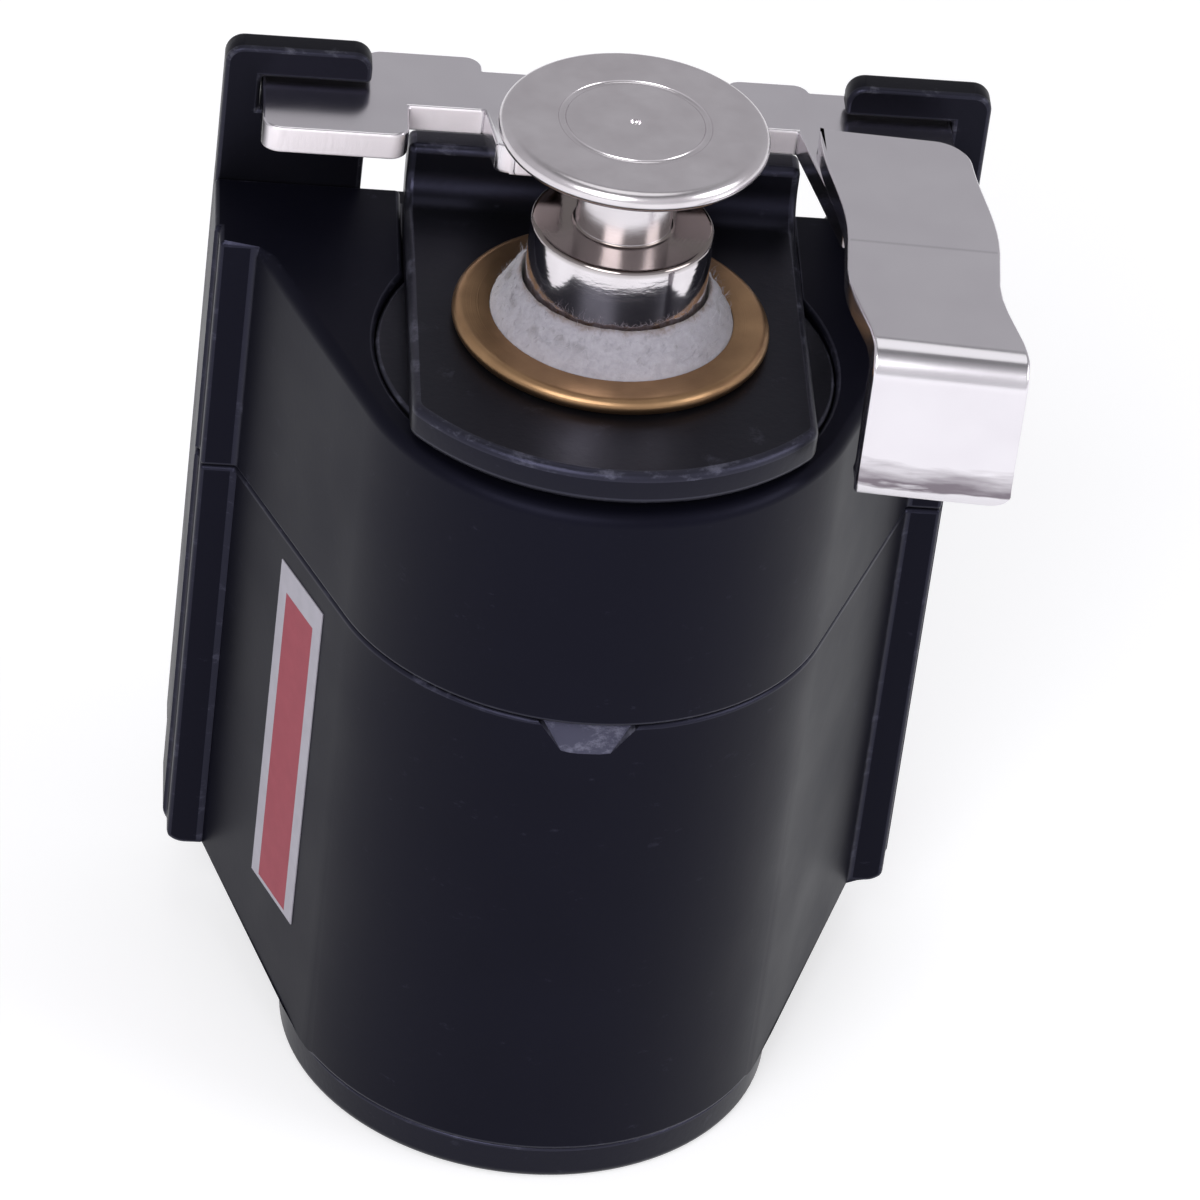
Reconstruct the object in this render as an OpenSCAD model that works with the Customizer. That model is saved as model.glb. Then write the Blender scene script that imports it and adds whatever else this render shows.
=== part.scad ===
// Fuel shutoff solenoid with a rocking lever.
// The plunger runs on the Z axis, the base plate stands on z = 0 and the mounting side faces +Y.

/* [Housing] */
// Radius of the housing's round front
housing_r = 21.4; // [20.8:0.1:23]
// Distance from the plunger axis to the front of the lips
lip_front_y = 12; // [11:0.1:13]
// Depth of a lip from front to back
lip_d = 2.2; // [1.5:0.1:3]
// Width of a lip
lip_w = 3.2; // [2.6:0.1:3.6]
// Step between a lip's outer edge and the flange's side
lip_inset = 0.4; // [0.2:0.1:1.6]
// Half width of the rear flange
flange_half_w = 32; // [31.5:0.1:34]
// Distance from the plunger axis to the housing's rear face
rear_y = 21.2; // [21:0.1:23]
// Height of the flange's lower end
flange_bottom_z = 8; // [6:0.5:12]
// Rounding of the flange's lower corners
flange_corner = 2; // [1:0.1:3]
// Height of the seam between the two housing shells
seam_z = 48.4; // [42:0.2:54]
// Height of the housing's top edge at the front
top_front_z = 69.2; // [67:0.2:74]
// Rise of the top face towards the back, in degrees
top_slope = 3; // [2:0.5:4]
// Width of the notch at the front of the seam
notch_w = 7.5; // [5:0.5:10]
// Height of that notch
notch_h = 2.2; // [1.5:0.1:3]
// Depth of that notch
notch_d = 0.6; // [0.3:0.1:1]

/* [Magnet frame] */
// Thickness of the base plate
base_t = 3.4; // [3:0.1:4]
// How far the base plate's side is set in from the shell
base_set = 0.2; // [0:0.1:0.6]
// Rounding of the base plate's lower edge
base_edge = 0.9; // [0.5:0.1:1.5]
// Outer radius of the steel tube round the coil
yoke_r = 18.6; // [18.2:0.1:18.8]
// Wall of that tube
yoke_wall = 1.6; // [1.2:0.1:2]
// Radius of the pole plate
pole_r = 18.85; // [18.8:0.05:19.2]
// Thickness of the pole plate
pole_t = 3; // [2.6:0.1:3.2]
// Depth of the pole plate's seat below the top edge
pole_drop = 2.1; // [1.9:0.1:2.4]
// Thickness of the strap on the pole plate
strap_t = 3; // [2.6:0.1:3.2]
// Half width of the strap
strap_half_w = 16.4; // [15.8:0.1:16.8]
// Radius of the strap's round front
strap_r = 20.9; // [20.5:0.1:21.2]
// Inner radius of the strap's bend
strap_bend = 2.5; // [1.5:0.1:3]
// Height of the fixed core's face
core_top_z = 30; // [26:0.5:34]
// Radius of the core's spigot in the base plate
spigot_r = 5; // [4:0.1:6]

/* [Guide and seal] */
// Outer radius of the brass rim
rim_r = 13; // [12:0.1:14]
// Thickness of the brass rim
rim_t = 1.5; // [1.2:0.1:1.7]
// Wall of the brass guide tube
guide_wall = 0.7; // [0.5:0.1:1]
// Inner radius of the cup that holds the felt
cup_r = 10; // [9.5:0.1:11]
// Depth of the cup below the rim
cup_d = 2.4; // [2:0.1:2.8]
// Rise of the felt above the rim at the plunger
felt_rise = 3.4; // [2:0.1:4]

/* [Plunger] */
// Radius of the plunger
plunger_r = 7.45; // [7:0.05:7.8]
// Height of the plunger's shoulder above the rim at rest
shoulder_rise = 8.8; // [8.6:0.1:10]
// Radius of the neck
neck_r = 3.9; // [3.2:0.1:4.2]
// Length of the neck below the head
neck_len = 7.7; // [7.4:0.1:9]
// Radius of the head
head_r = 10.95; // [10:0.05:12]
// Thickness of the head
head_t = 1.8; // [1.4:0.1:2.4]
// Pull-in stroke
stroke = 6; // [4:0.5:6]
// Radial clearance between plunger and guide tube
run_clear = 0.07; // [0.03:0.01:0.1]
// Number of turns of the return spring
spring_turns = 11; // [8:1:14]
// Radius of the spring's wire
spring_wire_r = 0.45; // [0.3:0.05:0.5]

/* [Bracket] */
// Thickness of the rear bracket
bracket_t = 2.7; // [2.2:0.1:3.2]
// Half width between the inner ends of the two hooks
hook_half_gap = 19.8; // [18.5:0.1:21]
// Height of a hook above its slot
hook_h = 2.8; // [2.2:0.1:4]
// Width of the bracket outside a slot
slot_wall = 3.1; // [2.6:0.1:3.4]
// Height of the bracket's lower edge
bracket_bottom_z = 13; // [9:0.5:16]
// Rounding of the bracket's corners
bracket_corner = 1.6; // [0.8:0.1:2.4]
// Half distance between the two mounting threads
mount_half_x = 23.5; // [23:0.1:24]
// Height of the mounting threads
mount_z = 37; // [30:0.5:44]
// Radius of the thread's bore
thread_r = 2.5; // [2:0.1:2.6]

/* [Lever] */
// Thickness of the lever
lever_t = 2.5; // [2:0.1:3]
// Height of the lever's pivot above the strap
pivot_rise = 6.8; // [6.7:0.1:7.2]
// Swing of the lever over the full stroke, in degrees
lever_swing = 8; // [5:0.5:8]
// Upward set of the fork, in degrees
fork_set = 22; // [22:0.5:23]
// Half width of the fork
fork_half_w = 10.4; // [10:0.1:11]
// Half width of the fork's slot
fork_slot = 4.6; // [4.4:0.1:5]
// Distance from the plunger axis to the fork's tips
fork_tip_y = 4.2; // [4:0.1:4.8]
// Width of the two tabs
tab_w = 11.9; // [11:0.1:13]
// Clearance between a tab's outer edge and the end of its slot
tab_clear = 0.3; // [0.2:0.1:1]
// Distance from the plunger axis to the left tab's front edge
left_tab_y = 14.2; // [12:0.1:15]
// Distance from the plunger axis to the right tab's front edge
right_tab_y = 5.2; // [4:0.1:7]
// Slant of the right tab's inner edge over its length
tab_slant = 2.9; // [0:0.1:3.5]
// Thickness of the arm
arm_t = 2.2; // [1.8:0.1:2.5]
// Width of the arm
arm_w = 12.5; // [11:0.1:13]
// Turn of the arm about the vertical, in degrees
arm_turn = 4.5; // [0:0.5:6]
// Length of the arm from its rear edge to the finger's face
arm_len = 31.4; // [30:0.1:34]
// Sideways set of the arm at its crease
arm_set = 2.4; // [0:0.1:3]
// Sideways set of the arm at its finger
finger_set = 4.9; // [3:0.1:5.5]
// Length of the finger from the arm's top to its tip
finger_len = 14.3; // [12:0.1:15]

/* [Hidden] */
$fn = 96;
// Close fit of parts that are pressed together
fit = 0.03;
// Small overlap that lets a cut run past a face
eps = 0.5;
// Clearance of parts that are slipped together
slip = 0.1;
// Gap between a moving part and what it passes
gap = 0.35;

// Heights along the plunger axis
pole_z = top_front_z - pole_drop;
pole_top_z = pole_z + pole_t;
strap_z = pole_top_z + strap_t;
rim_z = strap_z + rim_t;
shoulder_z = rim_z + shoulder_rise;
head_z = shoulder_z + neck_len;
stop_ring_t = 1;
plunger_z = core_top_z + stop_ring_t + stroke + gap;

// Housing outline
lip_lap = 0.2;
side_half_w = flange_half_w - lip_inset - lip_w + lip_lap;
corner_d = norm([side_half_w, lip_front_y]);
tangent_a = atan2(lip_front_y, side_half_w) - acos(housing_r / corner_d);
top_rear_z = top_front_z + (rear_y + housing_r) * tan(top_slope);
housing_bore = yoke_r + slip;
base_r = housing_r - base_set;
pole_pocket = pole_r + slip;

// Guide tube and coil
guide_in = plunger_r + run_clear;
guide_out = guide_in + guide_wall;
guide_z = base_t + slip;
bobbin_in = guide_out + slip;
bobbin_wall = 1.2;
bobbin_flange_t = 1.6;
bobbin_lift = 0.6;
bobbin_z = base_t + bobbin_lift;
bobbin_clear = 0.2;
washer_t = 1.6;
bobbin_top_z = pole_z - washer_t;
bobbin_flange_r = yoke_r - yoke_wall - bobbin_clear;
winding_in = bobbin_in + bobbin_wall;
winding_margin = 1.4;
winding_out = bobbin_flange_r - winding_margin;
tape_t = 0.5;

// Bracket and lever pivot: above the mounting face the hooks are set back a little
hook_relief = 0.2;
sill_drop = 1.8;
slot_end = flange_half_w - slot_wall;
tab_out = slot_end - tab_clear;
tab_in = tab_out - tab_w;
pivot_y = rear_y + bracket_t / 2;
pivot_z = strap_z + pivot_rise;
slot_half_h = lever_t / 2 / cos(lever_swing) + bracket_t / 2 * tan(lever_swing) + slip;
hook_z = pivot_z + slot_half_h;
bracket_top_z = hook_z + hook_h;
bracket_back_y = rear_y + bracket_t;
lever_top_z = pivot_z + lever_t / 2;
bar_overhang = 2.3;
bar_front_y = rear_y - bar_overhang;
heel_reach = 2.8;
bar_rear_y = bracket_back_y + heel_reach;
lug_gap = 0.6;
lug_front_y = bracket_back_y + lug_gap;
lug_w = 6.6;
lug_reach = 2;

// Tongue of the strap: it ends under the lever and stays clear of its swing
tongue_y = rear_y - strap_t - 2 * slip;
tongue_top_z = pivot_z - lever_t / 2 - (pivot_y - bar_front_y) * sin(lever_swing) - gap;
strap_corner = 2;

// Fasteners
screw_r = 1.5;
screw_head_r = 2.9;
screw_head_h = 1.5;
screw_len = 9;
screw_side = 4.6;
screw_x = flange_half_w - screw_side;
screw_edge = 6;
screw_low_z = bracket_bottom_z + screw_edge;
screw_high_z = top_front_z - screw_edge;
insert_r = 3.7;
insert_len = 8;
bolt_clear = 0.8;
bolt_clear_r = thread_r + bolt_clear;

// Wire inlet under the flange's left corner
inlet_side = 8.4;
inlet_x = inlet_side - flange_half_w;
inlet_y = (lip_front_y + lip_d + rear_y) / 2;
inlet_r = 2.4;
grommet_collar_r = 3.2;
grommet_collar_t = 1.4;
wire_r = 1.5;
inlet_depth = 8;
grommet_h = 6;

// Seal in the base plate
seal_r = (housing_bore + base_r) / 2;
seal_w = 0.5;

// Small details of the turned parts
edge = 0.4;
stem_r = 2.5;
stem_len = 12;
collar_step = 0.6;
collar_h = 0.8;
groove_at = 0.54;
groove_r = 0.15;
centre_r = 0.45;
cup_floor_z = rim_z - cup_d;
felt_lip = 0.6;
core_pin = 5;
screw_slot = 0.7;

// Small details of the lever
tab_corner = 1.5;
arm_inset = 0.9;
rear_flat = 1.2;
rear_bump = 0.5;
fork_eye = 1;
fork_lap = 2;
right_tab_in = tab_in - arm_inset;
arm_x = tab_in + arm_inset / 2;
arm_back_y = 16.2;
arm_corner = 3;
arm_steps = 30;
arm_bend = 0.6;
crease_u = 16;
crease_a = 3;
flare_u = 20;
finger_corner = 2;
bend_out = arm_t + arm_bend;
bend_u = arm_len - bend_out;
bend_v = arm_t - (bend_u - crease_u) * tan(crease_a);
toe_r = 4.2;
toe_a = 40;

// Spring
spring_r = 3.1;
spring_clear = 0.3;
spring_bore = spring_r + spring_wire_r + spring_clear;
spring_depth = 20;
spring_top_z = plunger_z + spring_depth;

// Outline of the housing seen from above: a round front with tangent sides
module housing_outline() {
    r = housing_r;
    w = side_half_w;
    intersection() {
        circle(r);
        translate([-2 * r, -2 * r])
            square([4 * r, 2 * r]);
    }
    polygon([r * [cos(tangent_a), sin(tangent_a)], [w, lip_front_y], [w, rear_y], [-w, rear_y],
        [-w, lip_front_y], r * [-cos(tangent_a), sin(tangent_a)]]);
}

// Flange and lips that run down the rear of the housing
module flange_outline() {
    lip_out = flange_half_w - lip_inset;
    translate([-flange_half_w, lip_front_y + lip_d])
        square([2 * flange_half_w, rear_y - lip_front_y - lip_d]);
    for (side = [-1, 1])
        translate([side * (lip_out - lip_w / 2), lip_front_y + lip_d])
            square([lip_w, 2 * lip_d], center = true);
}

// Everything under the wings that join the round front to the flange: their lower edge rises to the back
module below_wings() {
    wing_y = housing_r * sin(tangent_a);
    wing_slope = atan((flange_bottom_z - base_t) / (lip_front_y - wing_y));
    difference() {
        translate([-2 * flange_half_w, wing_y, base_t])
            rotate([wing_slope, 0, 0])
                translate([0, 0, -3 * flange_bottom_z])
                    cube([4 * flange_half_w, 4 * housing_r, 3 * flange_bottom_z]);
        translate([0, 0, -eps])
            cylinder(r = housing_r, h = 4 * flange_bottom_z);
    }
}

// Everything above the sloping top face
module above_top_face() {
    translate([0, -housing_r, top_front_z])
        rotate([top_slope, 0, 0])
            translate([-2 * flange_half_w, -housing_r, 0])
                cube([4 * flange_half_w, 4 * housing_r, 2 * housing_r]);
}

// Blind holes for the four bracket screws
module screw_holes() {
    for (side = [-1, 1], z = [screw_low_z, screw_high_z])
        translate([side * screw_x, bracket_back_y, z])
            rotate([90, 0, 0])
                cylinder(r = screw_r + fit, h = screw_len);
}

// Holes for the two threaded inserts
module insert_holes() {
    for (side = [-1, 1])
        translate([side * mount_half_x, rear_y + eps, mount_z])
            rotate([90, 0, 0])
                cylinder(r = insert_r + fit, h = insert_len + eps);
}

module upper_housing() {
    color("#16171b")
        difference() {
            translate([0, 0, seam_z])
                linear_extrude(top_rear_z - seam_z + eps) {
                    housing_outline();
                    flange_outline();
                }
            above_top_face();
            translate([0, 0, seam_z - eps])
                cylinder(r = housing_bore, h = top_rear_z - seam_z);
            translate([0, 0, pole_z])
                cylinder(r = pole_pocket, h = top_rear_z - pole_z + eps);
            translate([0, -slip, pole_top_z])
                linear_extrude(top_rear_z - pole_top_z + eps)
                    square([2 * strap_half_w + 2 * slip, 2 * rear_y + 2 * eps], center = true);
            screw_holes();
        }
}

module lower_housing() {
    color("#17181d")
        difference() {
            union() {
                difference() {
                    translate([0, 0, base_t])
                        linear_extrude(seam_z - base_t)
                            housing_outline();
                    below_wings();
                }
                intersection() {
                    translate([0, 0, flange_bottom_z])
                        linear_extrude(seam_z - flange_bottom_z)
                            flange_outline();
                    translate([0, rear_y + eps, 0])
                        rotate([90, 0, 0])
                            linear_extrude(rear_y)
                                rounded_plate(-flange_half_w, flange_half_w, flange_bottom_z,
                                    seam_z + 2 * flange_corner, flange_corner);
                }
            }
            translate([0, 0, base_t - eps])
                cylinder(r = housing_bore, h = seam_z - base_t + 2 * eps);
            translate([0, -housing_r + notch_d, seam_z])
                rotate([90, 0, 0])
                    linear_extrude(housing_r)
                        polygon([[-notch_w / 2, 0], [0, -notch_h], [notch_w / 2, 0]]);
            insert_holes();
            screw_holes();
            translate([inlet_x, inlet_y, flange_bottom_z - eps])
                cylinder(r = inlet_r, h = inlet_depth);
        }
}

// Plate outline in X and Z with four rounded corners
module rounded_plate(x0, x1, z0, z1, r) {
    for (x = [x0 + r, x1 - r], z = [z0 + r, z1 - r])
        translate([x, z])
            circle(r);
    translate([x0, z0 + r])
        square([x1 - x0, z1 - z0 - 2 * r]);
    translate([x0 + r, z0])
        square([x1 - x0 - 2 * r, z1 - z0]);
}

module rear_bracket() {
    hook_w = flange_half_w - hook_half_gap;
    hook_mid = hook_half_gap + hook_w / 2;
    color("#141519")
        difference() {
            translate([0, bracket_back_y, 0])
                rotate([90, 0, 0])
                    linear_extrude(bracket_t - fit)
                        difference() {
                            union() {
                                rounded_plate(-flange_half_w, flange_half_w, bracket_bottom_z,
                                    top_rear_z - sill_drop, bracket_corner);
                                for (side = [-1, 1])
                                    rounded_plate(side * hook_mid - hook_w / 2, side * hook_mid + hook_w / 2,
                                        top_rear_z - hook_w, bracket_top_z, bracket_corner);
                            }
                            for (side = [-1, 1])
                                translate([side * (hook_half_gap - eps + slot_end) / 2, pivot_z])
                                    square([slot_end - hook_half_gap + eps, 2 * slot_half_h], center = true);
                        }
            for (side = [-1, 1])
                translate([side * mount_half_x, bracket_back_y + eps, mount_z])
                    rotate([90, 0, 0])
                        cylinder(r = bolt_clear_r, h = bracket_t + 2 * eps);
            translate([-2 * flange_half_w, bracket_back_y - hook_relief, top_rear_z])
                cube([4 * flange_half_w, bracket_t, bracket_top_z]);
            screw_holes();
            screw_shapes(fit);
        }
}

// The four countersunk screws, grown by a clearance when they are used as a cut
module screw_shapes(grow = 0) {
    for (side = [-1, 1], z = [screw_low_z, screw_high_z])
        translate([side * screw_x, bracket_back_y, z])
            rotate([90, 0, 0]) {
                cylinder(r1 = screw_head_r + grow, r2 = screw_r + grow, h = screw_head_h);
                cylinder(r = screw_r + grow, h = screw_len - slip);
            }
}

module bracket_screws() {
    color("#8d9096")
        difference() {
            screw_shapes();
            for (side = [-1, 1], z = [screw_low_z, screw_high_z], turn = [0, 90])
                translate([side * screw_x, bracket_back_y, z])
                    rotate([0, turn, 0])
                        cube([2 * screw_r, screw_head_h, screw_slot], center = true);
        }
}

module mount_inserts() {
    color("#c19a4b")
        for (side = [-1, 1])
            translate([side * mount_half_x, rear_y, mount_z])
                rotate([90, 0, 0])
                    difference() {
                        cylinder(r = insert_r, h = insert_len);
                        translate([0, 0, -eps])
                            cylinder(r = thread_r, h = insert_len + 2 * eps);
                    }
}

module wire_grommet() {
    color("#1b1b1c")
        translate([inlet_x, inlet_y, flange_bottom_z])
            difference() {
                union() {
                    translate([0, 0, -grommet_collar_t])
                        cylinder(r = grommet_collar_r, h = grommet_collar_t);
                    cylinder(r = inlet_r - fit, h = grommet_h);
                }
                translate([0, 0, -grommet_collar_t - eps])
                    cylinder(r = wire_r, h = grommet_h + grommet_collar_t + 2 * eps);
            }
}

module base_plate() {
    color("#1d1e22")
        rotate_extrude()
            difference() {
                union() {
                    translate([0, base_edge])
                        square([base_r, base_t - base_edge]);
                    square([base_r - base_edge, base_t]);
                    translate([base_r - base_edge, base_edge])
                        circle(base_edge);
                }
                translate([seal_r - seal_w - slip / 2, base_t - 2 * seal_w])
                    square([2 * seal_w + slip, 2 * seal_w + eps]);
                translate([-eps, -eps])
                    square([spigot_r + fit + eps, base_t + 2 * eps]);
            }
}

module base_seal() {
    color("#222223")
        rotate_extrude()
            translate([seal_r, base_t - seal_w])
                circle(seal_w);
}

module pole_plate() {
    color("#202126")
        translate([0, 0, pole_z])
            difference() {
                cylinder(r = pole_r, h = pole_t);
                translate([0, 0, -eps])
                    cylinder(r = guide_out + fit, h = pole_t + 2 * eps);
            }
}

// Plan of the strap: a round front with two rounded corners between parallel sides
module strap_plan() {
    corner_x = strap_half_w - strap_corner;
    corner_y = -sqrt(pow(strap_r - strap_corner, 2) - pow(corner_x, 2));
    difference() {
        intersection() {
            union() {
                circle(strap_r);
                translate([-strap_half_w, 0])
                    square([2 * strap_half_w, 2 * rear_y]);
            }
            square([2 * strap_half_w, 4 * rear_y], center = true);
        }
        for (side = [0, 1])
            mirror([side, 0])
                difference() {
                    polygon([[corner_x, corner_y], [2 * corner_x, corner_y], 2 * [corner_x, corner_y]]);
                    translate([corner_x, corner_y])
                        circle(strap_corner);
                }
    }
}

// Side of the strap in Y and Z: it lies on the pole plate and bends up at the rear as a tongue
module strap_side() {
    bend_out = strap_bend + strap_t;
    bend_y = tongue_y - strap_bend;
    translate([-strap_r - eps, 0])
        square([bend_y + strap_r + eps, strap_t]);
    translate([tongue_y, bend_out])
        square([strap_t, tongue_top_z - pole_top_z - bend_out]);
    translate([bend_y, bend_out])
        difference() {
            intersection() {
                circle(bend_out);
                translate([0, -bend_out])
                    square(bend_out);
            }
            circle(strap_bend);
        }
}

module pole_strap() {
    color("#1c1d21")
        difference() {
            intersection() {
                translate([-strap_half_w - eps, 0, pole_top_z])
                    rotate([90, 0, 90])
                        linear_extrude(2 * strap_half_w + 2 * eps)
                            strap_side();
                translate([0, 0, pole_top_z - eps])
                    linear_extrude(tongue_top_z - pole_top_z + 2 * eps)
                        strap_plan();
            }
            translate([0, 0, pole_top_z - eps])
                cylinder(r = guide_out + fit, h = strap_t + 2 * eps);
            translate([0, 0, cup_floor_z - guide_wall])
                cylinder(r = cup_r + guide_wall + fit, h = cup_d + rim_t);
        }
}

module yoke_tube() {
    color("#5c5f66")
        translate([0, 0, base_t])
            difference() {
                cylinder(r = yoke_r, h = pole_z - base_t);
                translate([0, 0, -eps])
                    cylinder(r = yoke_r - yoke_wall, h = pole_z - base_t + 2 * eps);
            }
}

module fixed_core() {
    color("#8f9298") {
        cylinder(r = spigot_r, h = base_t + eps);
        translate([0, 0, base_t])
            cylinder(r = plunger_r, h = core_top_z - base_t);
        translate([0, 0, core_top_z - eps])
            cylinder(r = spring_r - spring_wire_r - gap, h = core_pin + eps);
    }
}

module stop_ring() {
    color("#3a3a3c")
        translate([0, 0, core_top_z])
            difference() {
                cylinder(r = plunger_r - gap, h = stop_ring_t);
                translate([0, 0, -eps])
                    cylinder(r = spring_bore + gap, h = stop_ring_t + 2 * eps);
            }
}

module coil_bobbin() {
    color("#2c2d31")
        translate([0, 0, bobbin_z])
            difference() {
                union() {
                    cylinder(r = winding_in, h = bobbin_top_z - bobbin_z);
                    cylinder(r = bobbin_flange_r, h = bobbin_flange_t);
                    translate([0, 0, bobbin_top_z - bobbin_z - bobbin_flange_t])
                        cylinder(r = bobbin_flange_r, h = bobbin_flange_t);
                }
                translate([0, 0, -eps])
                    cylinder(r = bobbin_in, h = bobbin_top_z - bobbin_z + 2 * eps);
            }
}

// Ring that fills the bobbin's height between two radii
module coil_layer(r_in, r_out) {
    coil_h = bobbin_top_z - bobbin_z - 2 * bobbin_flange_t - 2 * slip;
    translate([0, 0, bobbin_z + bobbin_flange_t + slip])
        difference() {
            cylinder(r = r_out, h = coil_h);
            translate([0, 0, -eps])
                cylinder(r = r_in, h = coil_h + 2 * eps);
        }
}

module coil_winding() {
    color("#a5652f")
        coil_layer(winding_in + fit, winding_out);
}

module winding_tape() {
    color("#b9a15a")
        coil_layer(winding_out + fit, winding_out + tape_t);
}

module coil_washer() {
    color("#6b5a44")
        translate([0, 0, bobbin_top_z])
            difference() {
                cylinder(r = bobbin_flange_r, h = washer_t);
                translate([0, 0, -eps])
                    cylinder(r = bobbin_in, h = washer_t + 2 * eps);
            }
}

module guide_tube() {
    color("#c39d50")
        rotate_extrude()
            difference() {
                union() {
                    translate([0, guide_z])
                        square([guide_out, cup_floor_z - guide_z]);
                    translate([0, cup_floor_z - guide_wall])
                        square([cup_r + guide_wall, cup_d + guide_wall]);
                    translate([0, strap_z])
                        square([rim_r - rim_t / 2, rim_t]);
                    translate([rim_r - rim_t / 2, strap_z + rim_t / 2])
                        circle(rim_t / 2);
                }
                translate([-eps, guide_z - eps])
                    square([guide_in + eps, rim_z - guide_z + 2 * eps]);
                translate([-eps, cup_floor_z])
                    square([cup_r + eps, cup_d + eps]);
            }
}

module felt_ring() {
    color("#ece9e2")
        rotate_extrude()
            polygon([[guide_in + fit, cup_floor_z], [cup_r - fit, cup_floor_z], [cup_r - fit, rim_z],
                [guide_in + fit + felt_lip, rim_z + felt_rise], [guide_in + fit, rim_z + felt_rise]]);
}

// Wire swept along a helix, ring by ring
module return_spring() {
    sides = 8;
    steps = 14;
    rings = spring_turns * steps;
    z0 = core_top_z + spring_wire_r;
    rise = (spring_top_z - core_top_z - 2 * spring_wire_r) / rings;
    pts = [for (i = [0 : rings], j = [0 : sides - 1])
        let (a = 360 * i / steps, b = 360 * j / sides, r = spring_r + spring_wire_r * cos(b))
        [r * cos(a), r * sin(a), z0 + rise * i + spring_wire_r * sin(b)]];
    walls = [for (i = [0 : rings - 1], j = [0 : sides - 1])
        let (k = (j + 1) % sides)
        [i * sides + j, i * sides + k, (i + 1) * sides + k, (i + 1) * sides + j]];
    first = [for (j = [0 : sides - 1]) sides - 1 - j];
    last = [for (j = [0 : sides - 1]) rings * sides + j];
    color("#9fa3aa")
        polyhedron(points = pts, faces = concat(walls, [first], [last]), convexity = 10);
}

module plunger() {
    color("#c9c8cc")
        rotate_extrude()
            difference() {
                union() {
                    translate([0, plunger_z])
                        square([plunger_r, shoulder_z - plunger_z - edge]);
                    translate([0, plunger_z])
                        square([plunger_r - edge, shoulder_z - plunger_z]);
                    translate([plunger_r - edge, shoulder_z - edge])
                        circle(edge);
                }
                translate([-eps, plunger_z - eps])
                    square([spring_bore + eps, spring_top_z - plunger_z + eps]);
                translate([-eps, shoulder_z - stem_len])
                    square([stem_r + fit + eps, stem_len + eps]);
            }
}

module plunger_head() {
    color("#cfced2")
        rotate_extrude()
            difference() {
                union() {
                    translate([0, shoulder_z - stem_len])
                        square([stem_r, stem_len + eps]);
                    translate([0, shoulder_z])
                        square([neck_r, neck_len + eps]);
                    translate([0, shoulder_z])
                        square([neck_r + collar_step, collar_h]);
                    translate([0, head_z])
                        square([head_r - head_t / 2, head_t]);
                    translate([head_r - head_t / 2, head_z + head_t / 2])
                        circle(head_t / 2);
                }
                translate([head_r * groove_at, head_z + head_t])
                    circle(groove_r);
                translate([0, head_z + head_t])
                    circle(centre_r);
                translate([-head_r, 0])
                    square([head_r, 2 * head_z]);
            }
}

// Plan of the lever's flat part: bar, tabs, rear edge and the lugs behind the bracket
module lever_plan() {
    translate([-tab_out, bar_front_y])
        square([2 * tab_out, bracket_back_y - bar_front_y + rear_flat]);
    for (side = [0, 1])
        mirror([side, 0])
            translate([tab_out + lug_reach - lug_w, lug_front_y])
                square([lug_w, bar_rear_y - lug_front_y]);
    rounded_plate(-tab_out, -tab_in, left_tab_y, bar_front_y + 2 * tab_corner, tab_corner);
    polygon([[right_tab_in, bar_front_y + tab_corner], [right_tab_in, bar_front_y],
        [right_tab_in + tab_slant, right_tab_y], [tab_out, right_tab_y],
        [tab_out, bar_front_y + tab_corner]]);
    rounded_plate(-hook_half_gap - eps, -fork_half_w, bar_front_y + tab_corner, bar_rear_y + rear_bump,
        tab_corner);
    rounded_plate(fork_half_w - eps, tab_in + eps, bar_front_y + tab_corner, bar_rear_y - rear_bump,
        tab_corner);
}

// Plan of the fork with its open slot round the plunger's neck
module fork_plan() {
    eye_y = fork_tip_y + fork_eye;
    difference() {
        translate([-fork_half_w, fork_tip_y - eps])
            square([2 * fork_half_w, bar_front_y + fork_lap - fork_tip_y + eps]);
        translate([0, eye_y])
            circle(fork_slot);
        translate([-fork_slot, fork_tip_y - 2 * eps])
            square([2 * fork_slot, fork_eye + 2 * eps]);
        for (side = [-1, 1])
            translate([side * (fork_half_w - tab_corner), fork_tip_y + tab_corner])
                difference() {
                    translate([side * tab_corner, -tab_corner])
                        square(2 * tab_corner, center = true);
                    circle(tab_corner);
                }
    }
}

// Side of the fork in Y and Z: it leaves the bar flat and bends up by fork_set
module fork_side() {
    half = lever_t / 2;
    mitre = half * tan(fork_set / 2);
    run = (bar_front_y - fork_tip_y) / cos(fork_set) + lever_t;
    tip = [bar_front_y - run * cos(fork_set), run * sin(fork_set)];
    across = half * [sin(fork_set), cos(fork_set)];
    polygon([[bar_front_y + fork_lap, half], [bar_front_y + mitre, half], tip + across, tip - across,
        [bar_front_y - mitre, -half], [bar_front_y + fork_lap, -half]]);
}

module lever() {
    color("#b4b3b8") {
        translate([0, 0, pivot_z - lever_t / 2])
            linear_extrude(lever_t)
                lever_plan();
        intersection() {
            translate([-fork_half_w - eps, 0, pivot_z])
                rotate([90, 0, 90])
                    linear_extrude(2 * fork_half_w + 2 * eps)
                        fork_side();
            translate([0, 0, pivot_z - lever_t])
                linear_extrude(shoulder_rise + 2 * lever_t)
                    fork_plan();
        }
    }
}

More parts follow.
